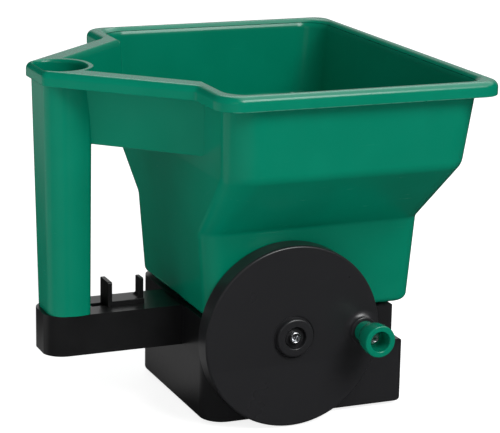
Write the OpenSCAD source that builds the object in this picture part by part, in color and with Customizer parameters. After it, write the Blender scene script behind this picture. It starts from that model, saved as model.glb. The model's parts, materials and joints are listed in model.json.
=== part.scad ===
// Hand spreader: an open hopper with a column grip, on a gear housing with a side crank.
// The crank disc carries a ring gear that drives a pinion, a bevel pair and the impeller.
// A finger slider on the arm pulls the shutter of the outlet open.
// X points forward, Y = 0 is the middle plane, the crank is on the -Y side.
// The floor is z = 0 and the crank turns about x = 0.

/* [Hopper] */
// Wall thickness of every moulding
wall = 2.2; // [1.8:0.1:2.6]
// Height of the top of the rim
rim_z = 213.5; // [211:0.5:216]
// Depth of the skirt that hangs from the rim
rim_skirt = 8.7; // [7:0.1:10]
// Half the width of the rim
rim_half_w = 124; // [121:0.5:128]
// Radius of the rounded top edge of the rim
rim_edge_r = 3; // [1.5:0.5:4]
// Height of the shoulder, where the steep upper walls start
shoulder_z = 160.3; // [155:0.5:166]
// Half the width at the shoulder
shoulder_half_w = 113.3; // [108:0.5:116]
// Height of the waist, where the side walls lean out
waist_z = 119.7; // [114:0.5:126]
// Half the width at the waist
waist_half_w = 61.9; // [61.2:0.1:61.9]

/* [Grip and trough] */
// Front face of the grip column
grip_front = -107.2; // [-109:0.2:-105]
// Half the width of the grip column under the rim
grip_half_w = 21.6; // [20:0.2:24]
// Underside of the trough between grip and hopper
trough_z = 169; // [160:0.5:176]

/* [Gear housing] */
// Height of the top of the housing
base_z = 65.5; // [65:0.1:66]
// Half the width of the housing
base_half_w = 61; // [60.5:0.1:61.5]
// Rear face of the housing
base_rear = -48.8; // [-50:0.1:-48]
// Front face of the upper block
base_front = 72; // [70:0.5:74]
// Front face of the lower block
ledge_front = 80.7; // [79:0.1:84]
// Height of the ledge on the lower block
ledge_z = 43.2; // [41:0.2:46]
// Lower edge of the housing walls
skirt_z = 2.5; // [2.5:0.1:3]
// Rear end of the arm
arm_rear = -134; // [-135:0.2:-133.4]
// Half the width of the arm
arm_half_w = 17.8; // [17:0.1:18.4]

/* [Crank] */
// Height of the crank axle
crank_z = 56.9; // [56.9:0.1:57.5]
// Radius of the crank disc
disc_r = 55.8; // [54:0.1:56]
// Distance of the knob from the axle
knob_arm = 44.4; // [43:0.1:45]
// Largest radius of the knob
knob_r = 9.3; // [8:0.1:10]

/* [Gears] */
// Module of the spur gears
spur_m = 1; // [1:1:1]
// Teeth of the ring gear
ring_teeth = 58; // [58:2:60]
// Teeth of the pinion
pinion_teeth = 12; // [12:2:14]
// Teeth of each bevel gear
bevel_teeth = 16; // [16:4:16]
// Module of the bevel gears at their large end
bevel_m = 1.25; // [1.2:0.05:1.25]
// Play between meshed teeth
backlash = 0.14; // [0.1:0.02:0.2]

/* [Impeller and shutter] */
// Radius of the impeller
impeller_r = 46; // [42:0.5:47]
// Vanes of the impeller
vanes = 6; // [4:1:8]
// Travel of the finger slider and shutter
slide_travel = 13; // [10:0.5:13]

/* [Hidden] */
$fn = 64;

green = [0.0, 0.42, 0.3];
black = [0.09, 0.09, 0.1];
steel = [0.72, 0.73, 0.75];
nylon = [0.86, 0.85, 0.8];
brass = [0.78, 0.62, 0.3];

// Overlap that joins or clears two solids
eps = 0.05;
// Segments of each rounded corner
corner_n = 8;

// Hopper, by height: the foot, the waist, the shoulder, the wall under the rim
foot_z = 66.8;
foot_half_w = 61.1;
foot_edge_r = 4;
top_half_w = 117.2;
rear_x = [[foot_z, -48.2], [waist_z, -52.7], [shoulder_z, -56.3], [rim_z, -58.6]];
front_x = [[foot_z, 84.9], [waist_z, 89.2], [shoulder_z, 93.6], [rim_z, 99.9]];
corner_r = [[foot_z, 11.9], [waist_z, 11.9], [shoulder_z, 18.7], [rim_z, 17.9]];
waist_bend_r = 6;
shoulder_bend_r = 12;
lip_flare = 4.2;
lip_h = 6;

// Rim outline
rim_rear = -67.4;
rim_front = 106.6;
rim_rear_r = 14.5;
rim_front_r = 12;
rim_spread = 1.4;
rim_end = -136.6;
rim_end_half_w = 17.5;
rim_joint_half_w = 84.2;

// Grip column
grip_foot_z = 65;
grip_rear_top = -134.9;
grip_rear_foot = -132.3;
grip_foot_half_w = 18.3;
grip_rear_r = 10.5;
grip_front_r = 4;
hollow_front = -105;
hollow_half_w = 19.4;
hollow_rear_r = 9;
hollow_front_r = 12.5;
grip_lip = 1.5;
grip_screw_x = -121;

// Trough: half-width of its outer walls is x plus this, at its floor and at the rim
trough_low = 126;
trough_high = 134.4;
trough_flare = 2.4;
trough_inside_x = -50;
trough_rear_x = -112;

// Outlet, shutter and slider
outlet_x = [-14, -2];
outlet_half_w = 14;
gate_z = 65.65;
gate_t = 1;
gate_half_w = 16;
gate_front = 1;
strip_half_w = 6;
strip_rear = -93.4;
rear_fin_x = -91.4;
front_fin_x = -70.6;
fin_t = 2;
fin_z = 80.4;
rear_fin_half_w = 6.6;
front_fin_half_w = 4.2;
slider_base_t = 1.7;
neck_x = [-88, -76];
neck_half_w = 3;
arm_top_z = 65;
arm_low_z = 40.1;
clip_z = 60.4;

// Crank parts lie along an axis that points out of the near side: their z is the distance from y = 0
disc_back = 62.4;
disc_face = 75.3;
disc_wall = 2.5;
hub_face = 78.3;
hub_r = 11.7;
hub_seat = 75.1;
axle_r = 4;
hub_bush_r = 5.5;
blister_h = 3.2;
knob_foot = 78.8;
knob_end = 101.3;
knob_recess_r = 6.2;
knob_floor = 90;
spindle_r = 2.5;
spindle_thread_r = 1.9;

// Gear layout: the pinion hangs inside the ring gear, straight beside the impeller shaft
ring_pitch_r = spur_m * ring_teeth / 2;
pinion_pitch_r = spur_m * pinion_teeth / 2;
gear_centres = ring_pitch_r - pinion_pitch_r;
impeller_x = 16;
drive_z = crank_z - sqrt(gear_centres * gear_centres - impeller_x * impeller_x);
mesh_angle = atan2(drive_z - crank_z, impeller_x);
shaft_r = 3;
bevel_pitch_r = bevel_m * bevel_teeth / 2;
bevel_face = 4.5;
bevel_hub_r = 6;
pressure_angle = 20;
ring_back = 64.6;
ring_outer_r = 33.5;
pinion_z = [64.8, 71.8];

// Housing inside
cavity_top = base_z - wall;
chute_x = [-16, 1.5];
chute_half_w = 15;
box_x = [3.5, 28.5];
box_y = [-20, 12.5];
box_wall = 2;
box_low_z = 29;
chute_low_z = 27;
window_half_w = 46;
window_z = [9, 37];
gear_posts = [[16, 19.5], [27, -26.5]];
cover_posts = [[-37, -48], [-37, 48], [67, -48], [67, 48]];
hopper_posts = [[-36, -34], [-36, 34], [57, -44], [57, 44]];
cover_t = 2.2;

// Impeller
impeller_z = 8;
vane_h = 12;
vane_sweep = 24;

// Running clearance of shafts in their bushes
run = 0.05;

// Angle between two directions, in degrees
function between(u, v) = acos(max(-1, min(1, u * v / norm(u) / norm(v))));
function unit(v) = v / norm(v);
function cross2(u, v) = u[0] * v[1] - u[1] * v[0];

// Outline through corners [x, y, radius] in counterclockwise order, each corner an arc
function rounded(c, n = corner_n) = [for (i = [0 : len(c) - 1])
    let (m = len(c),
        p = [c[(i + m - 1) % m][0], c[(i + m - 1) % m][1]],
        q = [c[(i + 1) % m][0], c[(i + 1) % m][1]],
        o = [c[i][0], c[i][1]],
        r = max(c[i][2], 0.01),
        u = unit(p - o),
        v = unit(q - o),
        h = between(u, v) / 2,
        centre = o + unit(u + v) * r / sin(h),
        start = o + u * r / tan(h) - centre,
        a0 = atan2(start[1], start[0]),
        turn = sign(cross2(v, u)) * (180 - 2 * h))
    for (k = [0 : n])
        [centre[0] + r * cos(a0 + turn * k / n), centre[1] + r * sin(a0 + turn * k / n)]];

// The same corners moved inward by d, with their radii to suit
function inset(c, d) = [for (i = [0 : len(c) - 1])
    let (m = len(c),
        p = [c[(i + m - 1) % m][0], c[(i + m - 1) % m][1]],
        q = [c[(i + 1) % m][0], c[(i + 1) % m][1]],
        o = [c[i][0], c[i][1]],
        e = unit(o - p),
        f = unit(q - o),
        n1 = [-e[1], e[0]],
        n2 = [-f[1], f[0]],
        moved = o + d * (n1 + n2) / (1 + n1 * n2))
    [moved[0], moved[1], c[i][2] - sign(cross2(e, f)) * d]];

function at_height(outline, z) = [for (p = outline) [p[0], p[1], z]];

// Solid through a stack of rings that have the same number of points
module loft(rings) {
    n = len(rings[0]);
    last = len(rings) - 1;
    polyhedron(
        points = [for (r = rings) for (p = r) p],
        faces = concat(
            [[for (i = [0 : n - 1]) i]],
            [[for (i = [n - 1 : -1 : 0]) last * n + i]],
            [for (k = [0 : last - 1]) for (i = [0 : n - 1]) [k * n + i, (k + 1) * n + i, (k + 1) * n + (i + 1) % n]],
            [for (k = [0 : last - 1]) for (i = [0 : n - 1]) [k * n + i, (k + 1) * n + (i + 1) % n, k * n + (i + 1) % n]]));
}

// Corners of a box seen from above, symmetric about y = 0
function box_corners(x0, x1, w0, w1, r0, r1) = [[x0, -w0, r0], [x1, -w1, r1], [x1, w1, r1], [x0, w0, r0]];

// Half of the hopper seen from the front, as corners [y, z, bend radius]
function half_profile() = [
    [0, foot_z, 0],
    [foot_half_w, foot_z, foot_edge_r],
    [waist_half_w, waist_z, waist_bend_r],
    [shoulder_half_w, shoulder_z, shoulder_bend_r],
    [top_half_w, rim_z, 0],
    [0, rim_z, 0]];

// Outline of the hopper at one point of that profile, its walls thinned by d
function hopper_ring(y, z, d) =
    let (side = lookup(z, [[foot_z, foot_half_w], [waist_z, waist_half_w]]) - d,
        tuck = z < foot_z + d + foot_edge_r ? max(0, side - y) : 0,
        r = lookup(z, corner_r) - d - tuck)
    at_height(rounded(box_corners(lookup(z, rear_x) + d + tuck, lookup(z, front_x) - d - tuck, y, y, r, r)), z);

// The points of the profile that the rings follow, from the foot to under the rim
function hopper_path(d) =
    let (c = inset(half_profile(), d))
    concat(
        [for (i = [corner_n + 1 : 4 * (corner_n + 1) - 1]) rounded(c)[i]],
        [[c[4][0], rim_z - 2.5]]);

module hopper_outside() {
    loft([for (p = hopper_path(0)) hopper_ring(p[0], p[1], 0)]);
}

// The hollow runs out over the rim in a rounded lip
module hopper_inside() {
    top = top_half_w - wall;
    loft(concat(
        [for (p = hopper_path(wall)) hopper_ring(p[0], p[1], wall)],
        [for (a = [30 : 30 : 90])
            at_height(rounded(box_corners(
                lookup(rim_z, rear_x) + wall - lip_flare * (1 - cos(a)),
                lookup(rim_z, front_x) - wall + lip_flare * (1 - cos(a)),
                top + lip_flare * (1 - cos(a)), top + lip_flare * (1 - cos(a)), 15, 15)),
                rim_z - lip_h + (lip_h + eps) * sin(a))]));
}

// One half of the rim is a rounded rectangle, the other the wedge out to the grip
function rim_corners() = [
    [rim_rear, rim_spread / 2 - rim_half_w, rim_rear_r],
    [rim_front, -rim_half_w - rim_spread / 2, rim_front_r],
    [rim_front, rim_half_w + rim_spread / 2, rim_front_r],
    [rim_rear, rim_half_w - rim_spread / 2, rim_rear_r]];

function wedge_corners() =
    let (slope = (rim_joint_half_w - rim_end_half_w) / (rim_rear - rim_end),
        w = rim_joint_half_w + slope * 9)
    box_corners(rim_end, rim_rear + 9, rim_end_half_w, w, 5, 1);

module rounded_slab(corners) {
    loft(concat(
        [at_height(rounded(corners), rim_z - rim_skirt)],
        [for (a = [0 : 22.5 : 90])
            at_height(rounded(inset(corners, rim_edge_r * (1 - cos(a)))),
                rim_z - rim_edge_r * (1 - sin(a)))]));
}

module rim() {
    difference() {
        union() {
            rounded_slab(rim_corners());
            rounded_slab(wedge_corners());
        }
        for (corners = [rim_corners(), wedge_corners()])
            translate([0, 0, rim_z - rim_skirt - 1])
                linear_extrude(rim_skirt + 1 - wall)
                    polygon(rounded(inset(corners, wall)));
    }
}

// Outline of the trough: its walls run at 45 degrees from the grip to the hopper
function trough_ring(z, rear, d, flare = 0) =
    let (reach = lookup(z, [[trough_z, trough_low], [rim_z, trough_high]]) - d * sqrt(2) + flare)
    at_height([[rear, -rear - reach], [trough_inside_x, -trough_inside_x - reach],
        [trough_inside_x, trough_inside_x + reach], [rear, rear + reach]], z);

module trough_outside() {
    loft([for (z = [trough_z, rim_z - 1]) trough_ring(z, grip_front - 4, 0)]);
}

// The hollow of the trough ends at the rounded wall around the grip's hollow
module trough_inside() {
    difference() {
        loft(concat(
            [trough_ring(trough_z + wall, trough_rear_x, wall)],
            [for (a = [0 : 30 : 90])
                trough_ring(rim_z - 4 + (4 + eps) * sin(a), trough_rear_x, wall, trough_flare * (1 - cos(a)))]));
        translate([0, 0, trough_z])
            linear_extrude(rim_z - trough_z)
                polygon(rounded(hollow_corners(grip_lip + wall)));
    }
}

// Outline of the grip column at a height, thinned by d, with its front face at x = front
function grip_ring(z, d, front) =
    let (w = lookup(z, [[grip_foot_z, grip_foot_half_w], [rim_z, grip_half_w]]) - d,
        rear = lookup(z, [[grip_foot_z, grip_rear_foot], [rim_z, grip_rear_top]]) + d)
    at_height(rounded(box_corners(rear, front, w, w, grip_rear_r - d, grip_front_r - d / 2)), z);

module grip_outside() {
    loft([for (z = [grip_foot_z, rim_z - 1]) grip_ring(z, 0, grip_front)]);
}

// Rounded outline of the upper hollow, widened by d
function hollow_corners(d) = box_corners(grip_rear_top + wall - d, hollow_front + d,
    hollow_half_w + d, hollow_half_w + d, hollow_rear_r + d, hollow_front_r + d);

// The hollow widens forward above the trough floor, and ends in a rounded lip
module grip_inside() {
    loft([for (z = [grip_foot_z + wall, trough_z + wall + 1]) grip_ring(z, wall, grip_front - wall)]);
    loft(concat(
        [at_height(rounded(hollow_corners(0)), trough_z + wall)],
        [for (a = [0 : 30 : 90])
            at_height(rounded(hollow_corners(grip_lip * (1 - cos(a)))), rim_z - 2.5 + (2.5 + eps) * sin(a))]));
}

module hopper() {
    post_h = 12;
    grip_post_h = 20;
    color(green)
        difference() {
            union() {
                difference() {
                    union() {
                        rim();
                        hopper_outside();
                        trough_outside();
                        grip_outside();
                    }
                    hopper_inside();
                    trough_inside();
                    grip_inside();
                }
                for (p = hopper_posts)
                    translate([p[0], p[1], foot_z + eps])
                        cylinder(r = 4, h = post_h);
                translate([grip_screw_x, 0, grip_foot_z + eps])
                    cylinder(r = 4.8, h = grip_post_h);
            }
            for (p = hopper_posts)
                translate([p[0], p[1], foot_z - 1])
                    cylinder(r = 1.75, h = post_h - 1);
            translate([grip_screw_x, 0, grip_foot_z - 1])
                cylinder(r = 1.9, h = grip_post_h - 2);
            translate([outlet_x[0], -outlet_half_w, foot_z - 1])
                cube([outlet_x[1] - outlet_x[0], 2 * outlet_half_w, wall + 2]);
            translate([impeller_x, 0, foot_z - 1])
                cylinder(r = 4.8, h = wall + 2);
        }
}

// Outline with true arcs: rear corners r0, front corners r1
module plan(x0, x1, w, r0, r1) {
    translate([x0 + r0, -w])
        square([x1 - x0 - r0 - r1, 2 * w]);
    translate([x0, r0 - w])
        square([2 * r0, 2 * (w - r0)]);
    translate([x1 - 2 * r1, r1 - w])
        square([2 * r1, 2 * (w - r1)]);
    for (s = [-1, 1]) {
        translate([x0 + r0, s * (w - r0)])
            circle(r = r0);
        translate([x1 - r1, s * (w - r1)])
            circle(r = r1);
    }
}

module slab(x0, x1, w, r0, r1, z0, z1) {
    translate([0, 0, z0])
        linear_extrude(z1 - z0)
            plan(x0, x1, w, r0, r1);
}

// Waste over the rounded front edge of the ledge
module ledge_edge() {
    r = 4.5;
    translate([ledge_front - r, -base_half_w - 1, ledge_z - r])
        difference() {
            cube([r + 1, 2 * base_half_w + 2, r + 1]);
            translate([0, -1, 0])
                rotate([-90, 0, 0])
                    cylinder(r = r, h = 2 * base_half_w + 4);
        }
}

module housing_outside() {
    slab(base_rear, base_front, base_half_w, 14.2, 1, skirt_z, base_z);
    difference() {
        slab(base_rear, ledge_front, base_half_w, 14.2, 5, skirt_z, ledge_z);
        ledge_edge();
    }
    slab(arm_rear, base_rear + 20, arm_half_w, 13, 2, arm_low_z, arm_top_z);
}

module housing_inside() {
    slab(base_rear + wall, base_front - wall, base_half_w - wall, 12, 0.5, 0, cavity_top);
    slab(base_rear + wall, ledge_front - wall, base_half_w - wall, 12, 2.8, 0, ledge_z - wall);
    slab(arm_rear + wall, base_rear, arm_half_w - wall, 10.8, 0.5, 0, arm_top_z - wall);
}

// A duct or box hanging from the roof of the housing
module hanging_box(x, y, low_z) {
    translate([x[0] - box_wall, y[0] - box_wall, low_z])
        difference() {
            cube([x[1] - x[0] + 2 * box_wall, y[1] - y[0] + 2 * box_wall, base_z - eps - low_z]);
            translate([box_wall, box_wall, -1])
                cube([x[1] - x[0], y[1] - y[0], cavity_top - low_z + 1]);
        }
}

module base_housing() {
    color(black)
        difference() {
            union() {
                difference() {
                    housing_outside();
                    housing_inside();
                }
                hanging_box(chute_x, [-chute_half_w, chute_half_w], chute_low_z);
                hanging_box(box_x, box_y, box_low_z);
                for (p = gear_posts)
                    translate([p[0], p[1], box_low_z])
                        cylinder(r = 3.5, h = base_z - eps - box_low_z);
                for (p = cover_posts)
                    translate([p[0], p[1], skirt_z + cover_t + 0.2])
                        cylinder(r = 4, h = cavity_top + eps - skirt_z - cover_t - 0.2);
                for (p = hopper_posts)
                    translate([p[0], p[1], cavity_top])
                        cylinder(r = 5.5, h = foot_z - cavity_top);
                // Guides of the shutter plate
                for (s = [-1, 1])
                    translate([base_rear + 14.2, s * (gate_half_w + 1.2) - 1, cavity_top + 1])
                        cube([gate_front - base_rear - 12, 2, foot_z - 0.1 - cavity_top - 1]);
                // Boss of the crank axle
                crank_side(46)
                    cylinder(r = 7.5, h = base_half_w - 1 - 46);
                // Boss of the outer drive bush
                drive_side(54)
                    cylinder(r = 7, h = base_half_w - 1 - 54);
                // Ribs of the arm and boss of the grip screw
                for (x = [-66, -104])
                    translate([x, -arm_half_w + 1, arm_low_z])
                        cube([1.8, 2 * arm_half_w - 2, 17]);
                translate([grip_screw_x, 0, 55])
                    cylinder(r = 5, h = arm_top_z - 1 - 55);
            }
            crank_side(40)
                cylinder(r = axle_r, h = 30);
            drive_side(50)
                cylinder(r = 4.5, h = 20);
            drive_side(10)
                cylinder(r = 4.5, h = 14);
            translate([grip_screw_x, 0, 50])
                cylinder(r = 1.9, h = 20);
            for (p = hopper_posts)
                translate([p[0], p[1], 50])
                    cylinder(r = 1.75, h = 20);
            for (p = cover_posts)
                translate([p[0], p[1], 0])
                    cylinder(r = 1.5, h = 18);
            for (p = gear_posts)
                translate([p[0], p[1], 20])
                    cylinder(r = 1.3, h = 22);
            // Shaft hole, outlet and window
            translate([impeller_x, 0, 60])
                cylinder(r = 4.8, h = 10);
            translate([outlet_x[0], -outlet_half_w, chute_low_z])
                cube([outlet_x[1] - outlet_x[0], 2 * outlet_half_w, 50]);
            translate([ledge_front - 12, -window_half_w, window_z[0]])
                cube([20, 2 * window_half_w, window_z[1] - window_z[0]]);
            // Slot of the slider neck
            translate([neck_x[0] - slide_travel - 0.8, -neck_half_w - 0.3, arm_top_z - 5])
                cube([neck_x[1] - neck_x[0] + slide_travel + 1.6, 2 * neck_half_w + 0.6, 10]);
        }
}

// Places what turns with the crank, or with the drive shaft
module crank_side(z = 0) {
    translate([0, 0, crank_z])
        rotate([90, 0, 0])
            translate([0, 0, z])
                children();
}

module drive_side(z = 0) {
    translate([impeller_x, 0, drive_z])
        rotate([90, 0, 0])
            translate([0, 0, z])
                children();
}

// Flat cover with a pan in its middle, which is what the spreader stands on
module bottom_cover() {
    gap = 0.3;
    low = skirt_z + 0.2;
    color(black)
        difference() {
            union() {
                slab(base_rear + wall + gap, ledge_front - wall - gap, base_half_w - wall - gap,
                    11.7, 2.5, low, low + cover_t);
                slab(-30, 62, 42, 8, 8, 0, low + 1);
            }
            slab(-27.8, 59.8, 39.8, 6, 6, cover_t, low + cover_t + 1);
            for (p = cover_posts)
                translate([p[0], p[1], 0])
                    cylinder(r = 1.5, h = 10);
        }
    // Ribs across the pan
    color(black)
        for (x = [-6, 16, 38])
            translate([x - 0.8, -39.9, cover_t - eps])
                cube([1.6, 79.8, 1.5]);
}

module gear_cover() {
    color(black)
        difference() {
            union() {
                translate([box_x[0] + 0.3, -30.5, box_low_z - 2])
                    cube([box_x[1] - box_x[0] + box_wall - 0.3, 54, 2]);
                translate([impeller_x, 0, box_low_z - 2])
                    cylinder(r = 6, h = 5.5);
            }
            translate([impeller_x, 0, 20])
                cylinder(r = 4.5, h = 20);
            for (p = gear_posts)
                translate([p[0], p[1], 20])
                    cylinder(r = 1.3, h = 20);
        }
}

module crank_axle() {
    color(steel)
        crank_side() {
            translate([0, 0, 45])
                cylinder(r = axle_r, h = hub_seat + 0.1 - 45);
            translate([0, 0, base_half_w])
                cylinder(r = 6, h = 1.3);
        }
}

module hub_washer() {
    color(steel)
        crank_side(hub_seat + 0.1)
            difference() {
                cylinder(r = 5.9, h = 0.8);
                translate([0, 0, -1])
                    cylinder(r = 1.5, h = 3);
            }
}

// Head of a screw: a flat cheese head with a domed top
module screw_head(r, h) {
    rotate_extrude()
        polygon(concat([[0, 0], [r, 0], [r, h * 0.55]],
            [for (a = [20 : 23.3 : 90]) [r * cos(a), h * (0.55 + 0.45 * sin(a))]],
            [[0, h]]));
}

module hub_screw() {
    color(steel)
        crank_side(hub_seat + 0.9)
            union() {
                translate([0, 0, -0.8])
                    cylinder(r = 1.5, h = 0.9);
                screw_head(3.6, 2.2);
            }
}

// Crank disc: a cup with a hub, a foot for the knob and ribs behind its face
function disc_profile() = concat(
    [[hub_bush_r, disc_back + 0.4], [10, disc_back + 0.4], [10, disc_face - disc_wall],
        [ring_outer_r, disc_face - disc_wall], [ring_outer_r, 68], [ring_outer_r + 2, 68],
        [ring_outer_r + 2, disc_face - disc_wall], [disc_r - disc_wall, disc_face - disc_wall],
        [disc_r - disc_wall, disc_back], [disc_r, disc_back]],
    [for (a = [0 : 15 : 90]) [disc_r - 1.5 * (1 - cos(a)), disc_face - 1.5 * (1 - sin(a))]],
    [[hub_r + 1, disc_face], [hub_r + 0.2, disc_face + 0.4]],
    [for (a = [0 : 22.5 : 90]) [hub_r - 1.3 * (1 - cos(a)), hub_face - 1.3 * (1 - sin(a))]],
    [[7.2, hub_face], [6.7, hub_face - 0.5], [6.7, hub_seat], [hub_bush_r, hub_seat]]);

module crank_disc() {
    rib_n = 8;
    color(black)
        crank_side()
            difference() {
                union() {
                    rotate_extrude()
                        polygon(disc_profile());
                    translate([knob_arm, 0, disc_face - eps])
                        cylinder(r1 = 12, r2 = 9.4, h = blister_h + eps);
                    translate([knob_arm, 0, 66])
                        cylinder(r = 7, h = disc_face - disc_wall - 66 + eps);
                    for (i = [0 : rib_n - 1])
                        rotate(22.5 + i * 360 / rib_n)
                            translate([ring_outer_r + 1, -0.9, 67])
                                cube([disc_r - ring_outer_r - 3, 1.8, disc_face - disc_wall - 67 + eps]);
                }
                translate([knob_arm, 0, 60])
                    cylinder(r = spindle_thread_r, h = 30);
            }
}

module hub_bush() {
    color(brass)
        crank_side(disc_back + 0.4)
            difference() {
                cylinder(r = hub_bush_r, h = hub_seat - disc_back - 0.4);
                translate([0, 0, -1])
                    cylinder(r = axle_r + run, h = 20);
            }
}

// Involute of the pressure angle, in degrees
function involute(a) = tan(a) * 180 / PI - a;

// Half the angle of a spur tooth at radius r, for pitch radius p and tooth thickness t
function half_tooth(r, p, t) =
    let (base = p * cos(pressure_angle),
        a = acos(min(1, base / max(r, base))))
    t / 2 / p * 180 / PI + involute(pressure_angle) - involute(a);

// Outline of a spur gear with z teeth, a tooth centred on the x axis
function gear_outline(z, m, root, tip, t) = [for (i = [0 : z - 1])
    for (s = [-1, 1])
        for (k = [0 : 3])
            let (f = s < 0 ? k / 3 : 1 - k / 3,
                r = root + (tip - root) * f,
                a = i * 360 / z + s * half_tooth(r, z * m / 2, t))
            [r * cos(a), r * sin(a)]];

module ring_gear() {
    h = disc_face - disc_wall - ring_back;
    t = PI * spur_m / 2 + backlash;
    color(nylon)
        crank_side(ring_back)
            difference() {
                cylinder(r = ring_outer_r, h = h);
                translate([0, 0, -1])
                    rotate(mesh_angle)
                        linear_extrude(h + 2)
                            polygon(gear_outline(ring_teeth, spur_m, ring_pitch_r - 0.5 * spur_m,
                                ring_pitch_r + 1.1 * spur_m, t));
            }
}

module drive_pinion() {
    t = PI * spur_m / 2 - backlash;
    color(nylon)
        drive_side()
            difference() {
                union() {
                    translate([0, 0, pinion_z[0]])
                        linear_extrude(pinion_z[1] - pinion_z[0])
                            rotate(mesh_angle)
                                polygon(gear_outline(pinion_teeth, spur_m, pinion_pitch_r - 1.3 * spur_m,
                                    pinion_pitch_r + 0.9 * spur_m, t));
                    translate([0, 0, base_half_w + 1.3])
                        cylinder(r = 4.4, h = pinion_z[0] - base_half_w - 1.3 + eps);
                }
                translate([0, 0, 50])
                    cylinder(r = shaft_r, h = 30);
            }
}

module drive_shaft() {
    color(steel)
        drive_side(5.6)
            cylinder(r = shaft_r, h = 72 - 5.6);
}

// Flanged bush with its flange at z = 0 and its sleeve above
module bush(sleeve_r, flange_r, flange_h, h) {
    difference() {
        union() {
            cylinder(r = sleeve_r, h = h);
            cylinder(r = flange_r, h = flange_h);
        }
        translate([0, 0, -1])
            cylinder(r = shaft_r + run, h = h + 2);
    }
}

module drive_bushes() {
    color(brass) {
        drive_side(base_half_w + 1)
            mirror([0, 0, 1])
                bush(4.5, 6, 1, 9);
        drive_side(19)
            bush(4.5, 6, 1, 5);
    }
}

// Bevel gear with its cone's tip at the origin and its teeth along +z, on a plain hub
function bevel_point(a, rise) =
    let (s = sin(45))
    [(bevel_pitch_r + rise * s) * cos(a), (bevel_pitch_r + rise * s) * sin(a), bevel_pitch_r - rise * s];

// Half the angle of a bevel tooth, from the spur gear that its back cone unrolls to
function half_bevel(rise) =
    let (p = bevel_pitch_r / sin(45),
        t = PI * bevel_m / 2 - backlash)
    half_tooth(p + rise, p, t) * p / bevel_pitch_r;

function bevel_ring() = [for (i = [0 : bevel_teeth - 1])
    for (s = [-1, 1])
        for (k = [0 : 2])
            let (f = s < 0 ? k / 2 : 1 - k / 2,
                rise = bevel_m * (-1.2 + 2.1 * f))
            bevel_point(i * 360 / bevel_teeth + s * half_bevel(rise), rise)];

module bevel_gear(hub_h) {
    cone = bevel_pitch_r / sin(45);
    small = (cone - bevel_face) / cone;
    big = bevel_ring();
    n = len(big);
    inner_r = 4.5;
    // Round back and front rims inside the teeth close the toothed cone
    back = [for (i = [0 : n - 1]) [inner_r * cos(i * 360 / n), inner_r * sin(i * 360 / n), bevel_pitch_r + 1.2]];
    front = [for (p = back) [p[0], p[1], small * bevel_pitch_r + 0.8]];
    rings = [back, big, small * big, front];
    difference() {
        union() {
            polyhedron(
                points = [for (r = rings) for (p = r) p],
                faces = [for (k = [0 : 3]) for (i = [0 : n - 1]) for (half = [0, 1])
                    let (a = k * n, b = ((k + 1) % 4) * n, j = (i + 1) % n)
                    half == 0 ? [a + i, a + j, b + j] : [a + i, b + j, b + i]]);
            translate([0, 0, small * bevel_pitch_r])
                cylinder(r = bevel_hub_r - 0.6, h = bevel_pitch_r + 1 - small * bevel_pitch_r);
            translate([0, 0, bevel_pitch_r + 0.6])
                cylinder(r = bevel_hub_r, h = hub_h - 0.6);
        }
        translate([0, 0, -1])
            cylinder(r = shaft_r, h = 40);
    }
}

module drive_bevel() {
    color(nylon)
        drive_side()
            bevel_gear(8.8);
}

module driven_bevel() {
    color(nylon)
        translate([impeller_x, 0, drive_z])
            rotate(180 / bevel_teeth)
                bevel_gear(10.4);
}

module impeller_shaft() {
    color(steel)
        translate([impeller_x, 0, impeller_z])
            cylinder(r = shaft_r, h = 72);
}

module impeller_bushes() {
    color(brass)
        translate([impeller_x, 0, 0]) {
            translate([0, 0, box_low_z - 3])
                bush(4.5, 6, 1, 8);
            translate([0, 0, cavity_top - 1.2])
                bush(4.8, 6.2, 1.2, foot_z + wall + 0.7 - cavity_top + 1.2);
        }
}

// One swept vane: its middle line turns by vane_sweep from the hub to the edge
function vane_outline() =
    let (n = 8, half = 0.9,
        side = function(s) [for (i = [0 : n])
            let (r = 6 + (impeller_r - 7) * i / n,
                a = vane_sweep * i / n + s * half / r * 180 / PI)
            [r * cos(a), r * sin(a)]],
        low = side(-1),
        high = side(1))
    concat(low, [for (i = [n : -1 : 0]) high[i]]);

module impeller() {
    color(black)
        translate([impeller_x, 0, impeller_z])
            difference() {
                union() {
                    rotate_extrude()
                        polygon([[0, 0], [impeller_r, 0], [impeller_r, 2.6], [impeller_r - 1.4, 2.6],
                            [impeller_r - 1.8, 2], [12, 2], [7.5, 5], [6.5, 17.6], [0, 17.6]]);
                    for (i = [0 : vanes - 1])
                        rotate(i * 360 / vanes)
                            translate([0, 0, 1])
                                linear_extrude(vane_h + 1)
                                    polygon(vane_outline());
                }
                translate([0, 0, -1])
                    cylinder(r = shaft_r, h = 30);
            }
}

module impeller_screw() {
    color(steel)
        translate([impeller_x, 0, impeller_z])
            mirror([0, 0, 1])
                union() {
                    cylinder(r = 5.5, h = 0.8);
                    translate([0, 0, 0.8])
                        screw_head(3.2, 1.8);
                }
}

// Two bars on a hub, each with an upright finger at its end
module agitator() {
    bar_r = 2;
    reach = 36;
    color(nylon)
        translate([impeller_x, 0, foot_z + wall + 0.9])
            difference() {
                union() {
                    cylinder(r = 6.5, h = 7);
                    translate([0, 0, 7])
                        cylinder(r1 = 6.5, r2 = 4.5, h = 3);
                    for (a = [70, 250])
                        rotate(a) {
                            translate([0, 0, 2.6])
                                rotate([0, 90, 0])
                                    cylinder(r = bar_r, h = reach);
                            translate([reach, 0, 2.6])
                                cylinder(r = bar_r, h = 9);
                            translate([reach, 0, 2.6])
                                sphere(r = bar_r);
                            translate([reach, 0, 11.6])
                                sphere(r = bar_r);
                        }
                }
                translate([0, 0, -1])
                    cylinder(r = shaft_r, h = impeller_z + 73 - foot_z - wall - 0.9);
            }
}

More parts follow.
